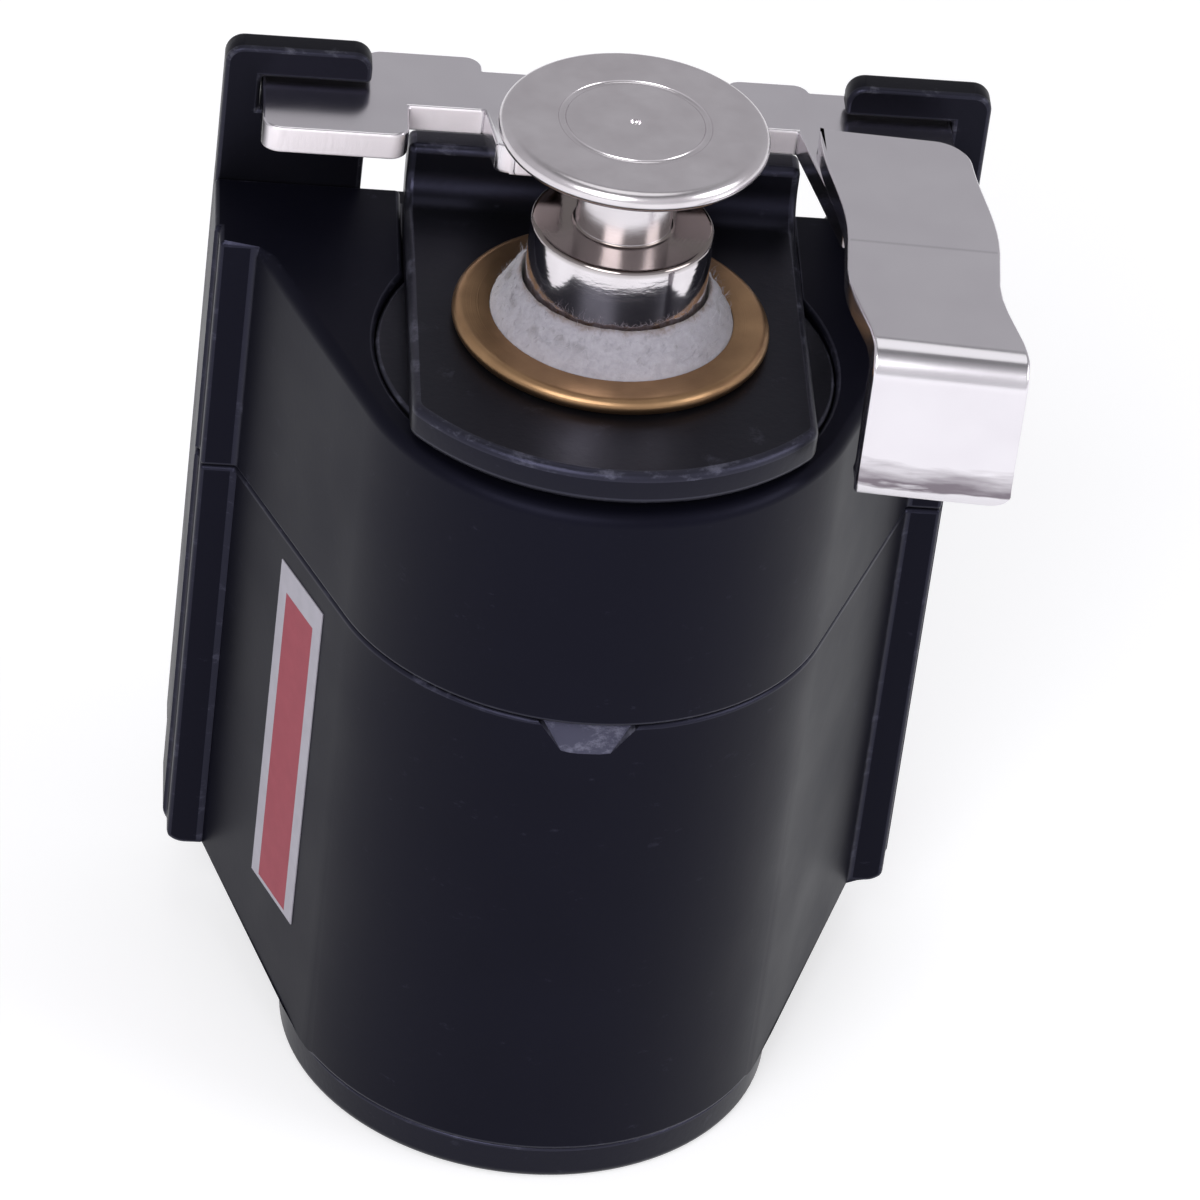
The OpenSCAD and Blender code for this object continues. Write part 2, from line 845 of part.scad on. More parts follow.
// Side of the arm: u runs forward from its rear edge, v runs up from the lever's top
module arm_side() {
    toe_v = bend_v - finger_len + toe_r * sin(toe_a);
    polygon([[0, 0], [crease_u, 0], [bend_u, bend_v - arm_t], [bend_u, bend_v], [crease_u, arm_t],
        [0, arm_t]]);
    translate([bend_u, bend_v - bend_out])
        difference() {
            intersection() {
                circle(bend_out);
                square(bend_out);
            }
            circle(arm_bend);
        }
    translate([arm_len - arm_t, toe_v])
        square([arm_t, bend_v - bend_out - toe_v]);
    translate([arm_len - toe_r, toe_v])
        difference() {
            intersection() {
                circle(toe_r);
                polygon([[0, 0], [2 * toe_r * cos(toe_a), -2 * toe_r * sin(toe_a)], [2 * toe_r, 0]]);
            }
            circle(toe_r - arm_t);
        }
}

// Smooth step from nothing to one
function ease(t) = (1 - cos(180 * min(max(t, 0), 1))) / 2;

// Sideways set of the arm at a distance from its rear edge
function sway(u) = arm_set * ease(u / crease_u)
    + (finger_set - arm_set) * ease((u - flare_u) / (arm_len - flare_u));

// What the round rear corner takes off the arm's width
function corner_cut(u) = u < arm_corner ? arm_corner - sqrt(u * (2 * arm_corner - u)) : 0;

// Plan of the arm: it is set over sideways towards the crease and again towards the finger
module arm_plan() {
    along = [for (k = [0 : arm_steps]) (arm_len + eps) * pow(k / arm_steps, 2)];
    left = [for (u = along) [sway(u), -u]];
    right = [for (u = along) [sway(u) + arm_w - corner_cut(u), -u]];
    polygon(concat(left, [for (k = [arm_steps : -1 : 0]) right[k]]));
}

module lever_arm() {
    reach = arm_w + finger_set + eps;
    color("#bbbabf")
        translate([arm_x, arm_back_y, lever_top_z])
            rotate([0, 0, -arm_turn])
                intersection() {
                    translate([reach, 0, 0])
                        rotate([0, 0, -90])
                            rotate([90, 0, 0])
                                linear_extrude(reach + eps)
                                    arm_side();
                    translate([0, 0, -finger_len - arm_t])
                        linear_extrude(finger_len + 2 * arm_t + eps)
                            arm_plan();
                    translate([0, eps, 0])
                        rotate([90, 0, 0])
                            linear_extrude(arm_len + 2 * eps)
                                rounded_plate(-reach, finger_set + arm_w, bend_v - finger_len,
                                    2 * arm_t + finger_corner, finger_corner);
                }
}

upper_housing();
lower_housing();
rear_bracket();
bracket_screws();
mount_inserts();
wire_grommet();
base_plate();
base_seal();
pole_plate();
pole_strap();
yoke_tube();
fixed_core();
stop_ring();
coil_bobbin();
coil_winding();
winding_tape();
coil_washer();
guide_tube();
felt_ring();
return_spring();
plunger();
plunger_head();
lever();
lever_arm();
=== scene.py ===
import bpy
import math
import random
from mathutils import Matrix, Vector, noise


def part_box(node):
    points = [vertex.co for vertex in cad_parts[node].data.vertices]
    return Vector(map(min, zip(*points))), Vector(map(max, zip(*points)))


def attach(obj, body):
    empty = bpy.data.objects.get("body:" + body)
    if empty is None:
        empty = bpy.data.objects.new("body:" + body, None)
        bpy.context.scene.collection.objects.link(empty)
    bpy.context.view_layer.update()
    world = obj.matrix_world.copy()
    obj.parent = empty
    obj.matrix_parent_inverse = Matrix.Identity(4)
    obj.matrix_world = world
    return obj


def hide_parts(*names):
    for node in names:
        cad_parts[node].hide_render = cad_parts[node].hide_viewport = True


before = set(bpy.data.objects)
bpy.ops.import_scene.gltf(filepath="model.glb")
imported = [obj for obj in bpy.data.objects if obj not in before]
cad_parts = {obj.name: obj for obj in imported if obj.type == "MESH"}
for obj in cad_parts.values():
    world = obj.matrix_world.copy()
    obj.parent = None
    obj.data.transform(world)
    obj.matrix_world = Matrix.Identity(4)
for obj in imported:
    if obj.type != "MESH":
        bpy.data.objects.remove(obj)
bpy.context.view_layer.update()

# Housing shells: two stacked mouldings of black glass-filled nylon, closed at the seam.
# Their edges are slightly rounded from the mould, and the faces carry fine scratches and dust.
# The upper rim has a wider rounding, and a small notch sits at the front of the seam, its floor painted
# lighter as a highlight.
wall_r = 0.0214
seam_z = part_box("lower_housing")[1].z
top_front_z = 0.0692
top_rise = math.tan(math.radians(3))
lip_front_y = 0.012
side_half_w = 0.0286
mould_edge = 0.0004
rim_rounding = 0.0011
rim_stop_y = 0.0106
notch_v_z = 0.0462
notch_foot_z = 0.0456
notch_cut_z = 0.049
notch_foot_half_w = 0.0019
notch_cut_half_w = 0.00457
notch_cut_y = -0.01909
notch_out_y = -0.0226
behind_notch_y = -0.018
wing_root_x = 0.019
wing_root_y = (-0.0096, -0.007)
wing_root_z = 0.004
pocket_rim_r = 0.0205
merge_gap = 2e-6
flat_angle = math.radians(0.8)
corner_angle = math.radians(32)
shortest_rounded_edge = 0.00015


def srgb(code):
    parts = [int(code[i:i + 2], 16) / 255 for i in (1, 3, 5)]
    return [p / 12.92 if p <= 0.04045 else ((p + 0.055) / 1.055) ** 2.4 for p in parts] + [1.0]


def feed(owner, node, values):
    for key, value in values.items():
        if isinstance(value, bpy.types.NodeSocket):
            owner.node_tree.links.new(value, node.inputs[key])
        else:
            node.inputs[key].default_value = value


def add(owner, kind, values=None, **settings):
    node = owner.node_tree.nodes.new(kind)
    for key, value in settings.items():
        setattr(node, key, value)
    feed(owner, node, values or {})
    return node


def new_material(name):
    mat = bpy.data.materials.new(name)
    mat.use_nodes = True
    mat.node_tree.nodes.clear()
    shader = add(mat, "ShaderNodeBsdfPrincipled")
    add(mat, "ShaderNodeOutputMaterial", {"Surface": shader.outputs["BSDF"]})
    place = add(mat, "ShaderNodeTexCoord").outputs["Object"]
    return mat, shader, place


def put_in_scene(name, data):
    thing = bpy.data.objects.new(name, data)
    bpy.context.scene.collection.objects.link(thing)
    return thing


def pick(piece):
    bpy.ops.object.select_all(action="DESELECT")
    bpy.context.view_layer.objects.active = piece
    piece.select_set(True)


def open_mesh(action="SELECT"):
    bpy.ops.object.mode_set(mode="EDIT")
    bpy.ops.mesh.select_all(action=action)


def close_mesh():
    bpy.ops.object.mode_set(mode="OBJECT")


# A copy of a solid with its triangles merged to whole faces and its corners rounded. carve works on
# the merged triangles, shape on the whole faces, and the corners at a spare point stay sharp.
def rounded_copy(node, width, skin, rubbed, carve=None, shape=None, spare=None):
    piece = put_in_scene(node + "_rounded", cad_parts[node].data.copy())
    piece.data.materials.clear()
    piece.data.materials.append(skin)
    piece.data.materials.append(rubbed)
    pick(piece)
    open_mesh()
    bpy.ops.mesh.customdata_custom_splitnormals_clear()
    bpy.ops.mesh.remove_doubles(threshold=merge_gap)
    if carve:
        close_mesh()
        carve(piece)
        open_mesh()
    bpy.ops.mesh.dissolve_limited(angle_limit=flat_angle)
    bpy.ops.mesh.select_all(action="DESELECT")
    close_mesh()
    if shape:
        shape(piece)
    open_mesh("DESELECT")
    bpy.ops.mesh.select_mode(type="EDGE")
    bpy.ops.mesh.edges_select_sharp(sharpness=corner_angle)
    close_mesh()
    weights = piece.data.attributes.new("bevel_weight_edge", "FLOAT", "EDGE")
    for edge in piece.data.edges:
        a, b = (piece.data.vertices[v].co for v in edge.vertices)
        left_out = (a - b).length < shortest_rounded_edge or (spare and (spare(a) or spare(b)))
        weights.data[edge.index].value = 1.0 if edge.select and not left_out else 0.0
    bevel = piece.modifiers.new("edges", "BEVEL")
    bevel.limit_method = "WEIGHT"
    bevel.width = width
    bevel.segments = 3
    bevel.use_clamp_overlap = False
    bevel.material = 1
    bpy.ops.object.modifier_apply(modifier="edges")
    bpy.ops.object.shade_smooth_by_angle(angle=corner_angle)
    weighted = piece.modifiers.new("normals", "WEIGHTED_NORMAL")
    weighted.keep_sharp = True
    bpy.ops.object.modifier_apply(modifier="normals")
    return piece


# Black skin of a moulding or a coating: near black with faint blotches, a fine grain that breaks the
# shine, and paler scuffs. The grain is drawn coarser than the real one so that it shows.
def black_skin(name, dark, light, rough, shine, grain, mark, worn_from):
    blotch_mm = 11.1
    scuff_mm = 3.03
    grain_mm = 0.556
    wear_fade = 0.14
    mat, shader, place = new_material(name)
    cloud = add(mat, "ShaderNodeTexNoise", {"Vector": place, "Scale": 1000 / blotch_mm, "Detail": 3.0})
    tone = add(mat, "ShaderNodeMix", {"Factor": cloud.outputs["Fac"], "A": srgb(dark), "B": srgb(light)},
               data_type="RGBA")
    scuff_map = add(mat, "ShaderNodeMapping", {"Vector": place, "Scale": (1.0, 1.0, 2.0)})
    scuff = add(mat, "ShaderNodeTexNoise", {"Vector": scuff_map.outputs["Vector"], "Scale": 1000 / scuff_mm,
                                            "Detail": 9.0, "Roughness": 0.74})
    rubs = add(mat, "ShaderNodeMapRange", {"Value": scuff.outputs["Fac"], "From Min": worn_from,
                                           "From Max": worn_from + wear_fade})
    wear_and_shade = add(mat, "ShaderNodeMix", {"Factor": rubs.outputs["Result"], "A": tone.outputs["Result"],
                                      "B": srgb(mark)}, data_type="RGBA")
    gloss = add(mat, "ShaderNodeMapRange", {"Value": cloud.outputs["Fac"], "From Min": 0.3, "From Max": 0.7,
                                            "To Min": rough[0], "To Max": rough[1]})
    pits = add(mat, "ShaderNodeTexNoise", {"Vector": place, "Scale": 1000 / grain_mm, "Detail": 3.0})
    bump = add(mat, "ShaderNodeBump", {"Strength": grain, "Distance": 0.0001, "Height": pits.outputs["Fac"]})
    feed(mat, shader, {"Base Color": wear_and_shade.outputs["Result"], "Roughness": gloss.outputs["Result"],
                       "Normal": bump.outputs["Normal"], "Specular IOR Level": shine,
                       "Specular Tint": srgb("#cdcdff")})
    return mat


def on_rim(co):
    on_top = abs(co.z - top_front_z - (co.y + wall_r) * top_rise) < 0.00003
    on_outline = co.y < lip_front_y + 0.00001 and abs(co.x) < side_half_w + 0.00005
    outside_pocket = math.hypot(co.x, co.y) > pocket_rim_r
    return on_top and on_outline and outside_pocket


def round_rim(piece):
    open_mesh()
    bpy.ops.mesh.bisect(plane_co=(0.0, rim_stop_y, 0.0), plane_no=(0.0, 1.0, 0.0))
    bpy.ops.mesh.select_all(action="DESELECT")
    close_mesh()
    for edge in piece.data.edges:
        edge.select = all(on_rim(piece.data.vertices[v].co) for v in edge.vertices)
    bpy.ops.object.mode_set(mode="EDIT")
    bpy.ops.mesh.select_mode(type="EDGE")
    bpy.ops.mesh.bevel(offset=rim_rounding, segments=5, affect="EDGES", clamp_overlap=False)
    close_mesh()


def rim_end(co):
    beside_lip = rim_stop_y - 0.0001 < co.y < lip_front_y - 0.00005
    return beside_lip and abs(co.x) > 0.025 and co.z > top_front_z - 0.0002


# The notch is a trapezoid with a sloping floor, cut over the shallow V of the solid.
def cut_notch(piece):
    for vert in piece.data.vertices:
        if abs(vert.co.x) < 1e-5 and abs(vert.co.z - notch_v_z) < 1e-5:
            vert.co.y = 0.00002 - wall_r
    bpy.ops.mesh.primitive_cube_add(size=2.0)
    cutter = bpy.context.object
    for vert in cutter.data.vertices:
        above = vert.co.z > 0
        half_w = notch_cut_half_w if above else notch_foot_half_w
        inner_y = notch_cut_y if above else -wall_r
        vert.co = (half_w * vert.co.x, inner_y if vert.co.y > 0 else notch_out_y,
                   notch_cut_z if above else notch_foot_z)
    pick(piece)
    notch = piece.modifiers.new("notch", "BOOLEAN")
    notch.operation = "DIFFERENCE"
    notch.solver = "EXACT"
    notch.object = cutter
    bpy.ops.object.modifier_apply(modifier="notch")
    bpy.data.objects.remove(cutter)
    # The notch floor faces that look upwards get the paler skin: a painted highlight where they face the
    # lamps.
    piece.data.materials.append(notch_scuffs_and_highlight)
    for face in piece.data.polygons:
        inside = face.center.y < behind_notch_y and notch_foot_z < face.center.z < seam_z - 0.0001
        if inside and face.normal.z > 0.4:
            face.material_index = 2


def notch_or_wing_root(co):
    at_wing_root = co.z < wing_root_z and abs(co.x) > wing_root_x and wing_root_y[0] < co.y < wing_root_y[1]
    across_notch = co.y < behind_notch_y and abs(co.x) < notch_cut_half_w + 0.00003
    in_notch = across_notch and notch_foot_z - 0.0006 < co.z < seam_z - 0.0001
    return at_wing_root or in_notch


plastic = black_skin("black_plastic", dark="#090910", light="#0e0e17", rough=(0.38, 0.46), shine=0.11,
                     grain=0.05, mark="#2d2d39", worn_from=0.62)
rubbed_plastic = black_skin("rubbed_plastic", dark="#101016", light="#181820", rough=(0.32, 0.4), shine=0.3,
                            grain=0.05, mark="#3a3a46", worn_from=0.55)
# Paler, shinier skin for the notch floor: a painted highlight, with scuffs.
notch_scuffs_and_highlight = black_skin("notch_scuffs_and_highlight", dark="#26262f", light="#3c3c47", rough=(0.3, 0.38), shine=0.5,
                             grain=0.05, mark="#6c6c7a", worn_from=0.5)
lower_shell = rounded_copy("lower_housing", mould_edge, plastic, rubbed_plastic, carve=cut_notch,
                           spare=notch_or_wing_root)
upper_shell = rounded_copy("upper_housing", mould_edge, plastic, rubbed_plastic, shape=round_rim,
                           spare=rim_end)
for node, shell in (("lower_housing", lower_shell), ("upper_housing", upper_shell)):
    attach(shell, "housing")
    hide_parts(node)

# Label: a printed paper-backed foil, stuck on the left wall of the lower shell.
# A red field sits inside a wide white border that is narrow at the lower end.
# The wall is flat there: it runs from the round front to the corner at the lip.
corner_reach = math.hypot(side_half_w, lip_front_y)
wall_angle = math.acos(wall_r / corner_reach) - math.atan2(lip_front_y, side_half_w)
wall_out = Vector((-math.cos(wall_angle), -math.sin(wall_angle), 0.0))
wall_run = Vector((-math.sin(wall_angle), math.cos(wall_angle), 0.0))
border_along = [0.0039, 0.0054, 0.0107, 0.0121]
border_heights = [0.0132, 0.0136, 0.0436, 0.0461]
foil_t = 0.00009
label_cells = 3
bpy.ops.object.select_all(action="DESELECT")
bpy.ops.mesh.primitive_grid_add(x_subdivisions=label_cells, y_subdivisions=label_cells, size=2.0)
label = bpy.context.object
label.name = "label"
# The grid is laid on from right to left, so that its printed face points away from the wall.
for vert in label.data.vertices:
    column, row = (round((step + 1.0) * label_cells / 2) for step in vert.co.xy)
    vert.co = wall_out * (wall_r + foil_t) + wall_run * border_along[label_cells - column]
    vert.co.z = border_heights[row]

# Printed paper: an even, slightly mottled white and a dull red, both with a soft sheen.
# A row gives the two tones, how rough it is, its shine, and the mottling in millimetres.
prints = [
    ("label_white", "#98959f", "#aeabb6", 0.45, 0.5, 1.667),
    ("label_red", "#8a3443", "#9b414f", 0.5, 0.25, 1.429),
]
for name, dark, light, rough, shine, mottle_mm in prints:
    ink, shader, place = new_material(name)
    paper = add(ink, "ShaderNodeTexNoise", {"Vector": place, "Scale": 1000 / mottle_mm, "Detail": 4.0})
    tone = add(ink, "ShaderNodeMix", {"Factor": paper.outputs["Fac"], "A": srgb(dark), "B": srgb(light)},
               data_type="RGBA")
    feed(ink, shader, {"Base Color": tone.outputs["Result"], "Roughness": rough, "Specular IOR Level": shine})
    label.data.materials.append(ink)
middle_cell = len(label.data.polygons) // 2
label.data.polygons[middle_cell].material_index = 1
# The foil gets only its cut rim, down to the wall, because its back is stuck down.
foil = label.modifiers.new("foil", "SOLIDIFY")
foil.thickness = foil_t
foil.offset = -1.0
foil.use_rim_only = True
bpy.ops.object.modifier_apply(modifier="foil")
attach(label, "housing")

# Rear bracket: a flat steel plate with two hooks that the lever rocks in, coated black.
# The coating is a little rougher than the mouldings and thins at the corners.
coating = black_skin("black_coating", dark="#07070a", light="#0d0d11", rough=(0.36, 0.48), shine=0.16,
                     grain=0.12, mark="#33333a", worn_from=0.62)
rubbed_coating = black_skin("rubbed_coating", dark="#131317", light="#202026", rough=(0.3, 0.4), shine=0.3,
                            grain=0.12, mark="#4a4a52", worn_from=0.55)
bracket_edge = 0.0004
plate = rounded_copy("rear_bracket", bracket_edge, coating, rubbed_coating)
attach(plate, "housing")
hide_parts("rear_bracket")

# Base plate, pole plate and strap: steel discs and a bent steel strap under a worn black coating.
# The strap lies across the pole plate, and its rear end stands up as a tongue under the lever.
blacked = black_skin("blacked_steel", dark="#08080a", light="#0e0e11", rough=(0.3, 0.42), shine=0.24,
                     grain=0.14, mark="#2c2c34", worn_from=0.6)
rubbed_steel = black_skin("rubbed_steel", dark="#121216", light="#222228", rough=(0.28, 0.4), shine=0.4,
                          grain=0.2, mark="#4a4a55", worn_from=0.54)
for node, width in (("base_plate", 0.0003), ("pole_plate", 0.0003), ("pole_strap", 0.0007)):
    disc = rounded_copy(node, width, blacked, rubbed_steel)
    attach(disc, "housing")
    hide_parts(node)


# Brass parts: the guide tube, whose turned rim lies on the strap, and the mounting inserts.
# Turning leaves fine rings round the axis, and the brass has dulled to brown in places.
def axis_distance(mat, axes):
    xx = add(mat, "ShaderNodeMath", {0: axes.outputs["X"], 1: axes.outputs["X"]}, operation="MULTIPLY")
    rr = add(mat, "ShaderNodeMath", {0: axes.outputs["Y"], 1: axes.outputs["Y"], 2: xx.outputs["Value"]},
             operation="MULTIPLY_ADD")
    return add(mat, "ShaderNodeMath", {0: rr.outputs["Value"]}, operation="SQRT").outputs["Value"]


def finish_solid(node, mat):
    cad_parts[node].data.materials.clear()
    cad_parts[node].data.materials.append(mat)


brass_ring_mm = 0.111
tarnish_mm = 3.85
brass, shader, place = new_material("turned_brass")
axes = add(brass, "ShaderNodeSeparateXYZ", {"Vector": place})
rings = add(brass, "ShaderNodeTexNoise", {"W": axis_distance(brass, axes), "Scale": 1000 / brass_ring_mm,
                                          "Detail": 2.0}, noise_dimensions="1D")
tarnish = add(brass, "ShaderNodeTexNoise", {"Vector": place, "Scale": 1000 / tarnish_mm, "Detail": 5.0})
tone = add(brass, "ShaderNodeMix", {"Factor": tarnish.outputs["Fac"], "A": srgb("#82644a"),
                                    "B": srgb("#c6a078")}, data_type="RGBA")
gloss = add(brass, "ShaderNodeMapRange", {"Value": tarnish.outputs["Fac"], "To Min": 0.42, "To Max": 0.28})
bump = add(brass, "ShaderNodeBump", {"Strength": 0.25, "Distance": 0.00005, "Height": rings.outputs["Fac"]})
feed(brass, shader, {"Base Color": tone.outputs["Result"], "Metallic": 1.0,
                     "Roughness": gloss.outputs["Result"], "Normal": bump.outputs["Normal"]})
for node in ("guide_tube", "mount_inserts"):
    finish_solid(node, brass)

# Felt ring: a wiper of pressed white wool that stands up round the plunger inside the brass cup.
# Its surface is lumpy and hairy, and oil from the plunger has stained its inner edge brown.
felt_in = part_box("plunger")[1].x + 0.0001
felt_out = 0.00996
felt_foot_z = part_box("felt_ring")[0].z + 0.0001
felt_rim_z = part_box("guide_tube")[1].z
felt_crest_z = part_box("felt_ring")[1].z
crest_set = 0.0002
felt_rows = 26
felt_steps = 160
foot_share = 0.25
crest_share = 0.8
lumps_per_m = 900
lump_h = 0.00016
tufts_per_m = 2600
tuft_h = 0.00009
lump_lean = 0.6
hair_count = 900
hair_half_w = 0.000022
hair_root_len = 0.0004
hair_tip_len = 0.0005


def spun_piece(name, outline, steps):
    mesh = bpy.data.meshes.new(name)
    lines = [(k, k + 1) for k in range(len(outline) - 1)]
    mesh.from_pydata([(r, 0.0, z) for r, z in outline], lines, [])
    piece = put_in_scene(name, mesh)
    pick(piece)
    open_mesh()
    bpy.ops.mesh.spin(steps=steps, angle=2 * math.pi, center=(0, 0, 0), axis=(0, 0, 1))
    bpy.ops.mesh.select_all(action="SELECT")
    bpy.ops.mesh.remove_doubles(threshold=merge_gap)
    bpy.ops.mesh.normals_make_consistent(inside=False)
    close_mesh()
    return piece


def felt_slope_z(u):
    return felt_rim_z + (felt_crest_z - felt_rim_z) * (0.75 * u + 0.25 * math.sin(u * math.pi / 2))


outline = []
for k in range(felt_rows):
    t = k / (felt_rows - 1)
    if t < foot_share:
        outline.append((felt_out, felt_foot_z + (felt_rim_z - felt_foot_z) * t / foot_share))
    elif t < crest_share:
        u = (t - foot_share) / (crest_share - foot_share)
        outline.append((felt_out + (felt_in + crest_set - felt_out) * u, felt_slope_z(u)))
    else:
        u = (t - crest_share) / (1.0 - crest_share)
        outline.append((felt_in + crest_set - 0.0001 * math.sin(u * math.pi / 2),
                        felt_crest_z - 0.0004 * (1 - math.cos(u * math.pi / 2)) - 0.002 * u * u))
felt = spun_piece("felt_wool", outline, felt_steps)
for vert in felt.data.vertices:
    r = math.hypot(vert.co.x, vert.co.y)
    if vert.co.z > felt_rim_z and r > felt_in + 0.00015:
        lump = noise.noise(vert.co * lumps_per_m) * lump_h + noise.noise(vert.co * tufts_per_m) * tuft_h
        lean = lump_lean * lump / r
        vert.co += Vector((lean * vert.co.x, lean * vert.co.y, lump))
verts = []
faces = []
random.seed(4)
for hair in range(hair_count):
    a = random.uniform(0, 2 * math.pi)
    u = random.random()
    r = felt_out + (felt_in + 0.0005 - felt_out) * u
    root = Vector((r * math.cos(a), r * math.sin(a), felt_slope_z(u) - 0.0001))
    sway = Vector((random.uniform(-1, 1), random.uniform(-1, 1), random.uniform(0.1, 0.7))).normalized()
    bend = root + sway * hair_root_len
    droop = (sway + Vector((random.uniform(-1, 1), random.uniform(-1, 1), -0.3))).normalized()
    tip = bend + droop * hair_tip_len
    tip_r = math.hypot(tip.x, tip.y)
    if tip_r > felt_out or tip_r < felt_in or math.hypot(bend.x, bend.y) < felt_in:
        continue
    across = sway.cross(Vector((0.3, 0.5, 0.8))).normalized() * hair_half_w
    n = len(verts)
    for point, scale in ((root, 1.0), (bend, 0.9), (tip, 0.4)):
        verts.append(tuple(point - across * scale))
        verts.append(tuple(point + across * scale))
    faces.append((n, n + 1, n + 3, n + 2))
    faces.append((n + 2, n + 3, n + 5, n + 4))
mesh = bpy.data.meshes.new("felt_hairs")
mesh.from_pydata(verts, [], faces)
hairs = put_in_scene("felt_hairs", mesh)
pick(felt)
hairs.select_set(True)
bpy.ops.object.join()
bpy.ops.object.shade_smooth()

# Wool felt: a dull, fibrous off-white with a soft sheen, darker dabs and a brown oil line inside.
fibre_mm = 0.667
blot_mm = 2.38
stain_fade_r = (0.0075, 0.0069)
dab_fade_r = (0.0093, 0.0086)
wool, shader, place = new_material("wool_felt")
axes = add(wool, "ShaderNodeSeparateXYZ", {"Vector": place})
radius = axis_distance(wool, axes)
fibre = add(wool, "ShaderNodeTexNoise", {"Vector": place, "Scale": 1000 / fibre_mm, "Detail": 6.0,
                                         "Roughness": 0.7})
wander = add(wool, "ShaderNodeMath", {0: fibre.outputs["Fac"], 1: -0.0012, 2: radius},
             operation="MULTIPLY_ADD")
stain = add(wool, "ShaderNodeMapRange", {"Value": wander.outputs["Value"], "From Min": stain_fade_r[0],
                                         "From Max": stain_fade_r[1]})
tone = add(wool, "ShaderNodeMix", {"Factor": fibre.outputs["Fac"], "A": srgb("#827f88"),
                                   "B": srgb("#b5b2bb")}, data_type="RGBA")
blots = add(wool, "ShaderNodeTexNoise", {"Vector": place, "Scale": 1000 / blot_mm, "Detail": 3.0})
spots = add(wool, "ShaderNodeMapRange", {"Value": blots.outputs["Fac"], "From Min": 0.56, "From Max": 0.68,
                                         "To Max": 0.7})
inward = add(wool, "ShaderNodeMapRange", {"Value": radius, "From Min": dab_fade_r[0],
                                          "From Max": dab_fade_r[1]})
dabs = add(wool, "ShaderNodeMath", {0: spots.outputs["Result"], 1: inward.outputs["Result"]},
           operation="MULTIPLY")
dabbed = add(wool, "ShaderNodeMix", {"Factor": dabs.outputs["Value"], "A": tone.outputs["Result"],
                                     "B": srgb("#57524f")}, data_type="RGBA")
oiled = add(wool, "ShaderNodeMix", {"Factor": stain.outputs["Result"], "A": dabbed.outputs["Result"],
                                    "B": srgb("#5d4632")}, data_type="RGBA")
bump = add(wool, "ShaderNodeBump", {"Strength": 0.6, "Distance": 0.0002, "Height": fibre.outputs["Fac"]})
feed(wool, shader, {"Base Color": oiled.outputs["Result"], "Roughness": 0.95, "Sheen Weight": 0.4,
                    "Specular IOR Level": 0.1, "Normal": bump.outputs["Normal"]})
felt.data.materials.append(wool)
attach(felt, "housing")
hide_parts("felt_ring")

# Plunger and its head: turned steel with bright nickel plating.
# The head is satin on top with faint turning marks and a centre mark, the plunger is polished.
# A darker brown band lies on the plunger's shoulder, where the neck starts: partly an oil film, partly
# painted shade under the overhanging head.
shoulder_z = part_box("plunger")[1].z
stud_r = 0.0025
stud_foot_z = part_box("plunger_head")[0].z
neck_r = 0.0039
neck_fillet = 0.0003
head_r = 0.01095
head_top_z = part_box("plunger_head")[1].z
head_half_t = 0.0009
groove_r = 0.00591
groove_half_w = 0.00032
groove_depth = 0.00018
centre_mark_r = 0.00045
nickel_ring_mm = 0.2
nickel_smear_mm = 3.33
ripple_mm = 1.429
nickel, shader, place = new_material("bright_nickel")
axes = add(nickel, "ShaderNodeSeparateXYZ", {"Vector": place})
rings = add(nickel, "ShaderNodeTexNoise", {"W": axis_distance(nickel, axes), "Scale": 1000 / nickel_ring_mm,
                                           "Detail": 3.0}, noise_dimensions="1D")
smear = add(nickel, "ShaderNodeTexNoise", {"Vector": place, "Scale": 1000 / nickel_smear_mm, "Detail": 5.0})
tone = add(nickel, "ShaderNodeMix", {"Factor": smear.outputs["Fac"], "A": srgb("#cbc5c9"),
                                     "B": srgb("#ebe7eb")}, data_type="RGBA")
# Darker brown band on the shoulder: partly oil, partly painted shade under the head.
shoulder_ramp = add(nickel, "ShaderNodeMapRange", {"Value": axes.outputs["Z"], "From Min": shoulder_z - 0.0007,
                                          "From Max": shoulder_z - 0.0001, "To Max": 0.85})
below = add(nickel, "ShaderNodeMath", {0: axes.outputs["Z"], 1: shoulder_z + 0.0002}, operation="LESS_THAN")
oil_and_shade_mask = add(nickel, "ShaderNodeMath", {0: shoulder_ramp.outputs["Result"], 1: below.outputs["Value"]},
             operation="MULTIPLY")
oil_and_shade = add(nickel, "ShaderNodeMix", {"Factor": oil_and_shade_mask.outputs["Value"], "A": tone.outputs["Result"],
                                     "B": srgb("#6c6059")}, data_type="RGBA")
satin = add(nickel, "ShaderNodeMapRange", {"Value": axes.outputs["Z"], "From Min": shoulder_z - 0.0001,
                                           "From Max": shoulder_z + 0.0002, "To Min": 0.05, "To Max": 0.2})
gloss = add(nickel, "ShaderNodeMath", {0: smear.outputs["Fac"], 1: 0.06, 2: satin.outputs["Result"]},
            operation="MULTIPLY_ADD")
ripple_map = add(nickel, "ShaderNodeMapping", {"Vector": place, "Scale": (1.0, 1.0, 2.5)})
ripple = add(nickel, "ShaderNodeTexNoise", {"Vector": ripple_map.outputs["Vector"],
                                            "Scale": 1000 / ripple_mm, "Detail": 3.0})
waves = add(nickel, "ShaderNodeBump", {"Strength": 0.16, "Distance": 0.00005,
                                       "Height": ripple.outputs["Fac"]})
bump = add(nickel, "ShaderNodeBump", {"Strength": 0.12, "Distance": 0.00004, "Height": rings.outputs["Fac"],
                                      "Normal": waves.outputs["Normal"]})
feed(nickel, shader, {"Base Color": oil_and_shade.outputs["Result"], "Metallic": 1.0,
                      "Roughness": gloss.outputs["Value"], "Normal": bump.outputs["Normal"]})
finish_solid("plunger", nickel)


def arc(r, z, half_w, half_h, first, last, count):
    turns = [math.radians(first + (last - first) * k / count) for k in range(count + 1)]
    return [(r + half_w * math.cos(turn), z + half_h * math.sin(turn)) for turn in turns]


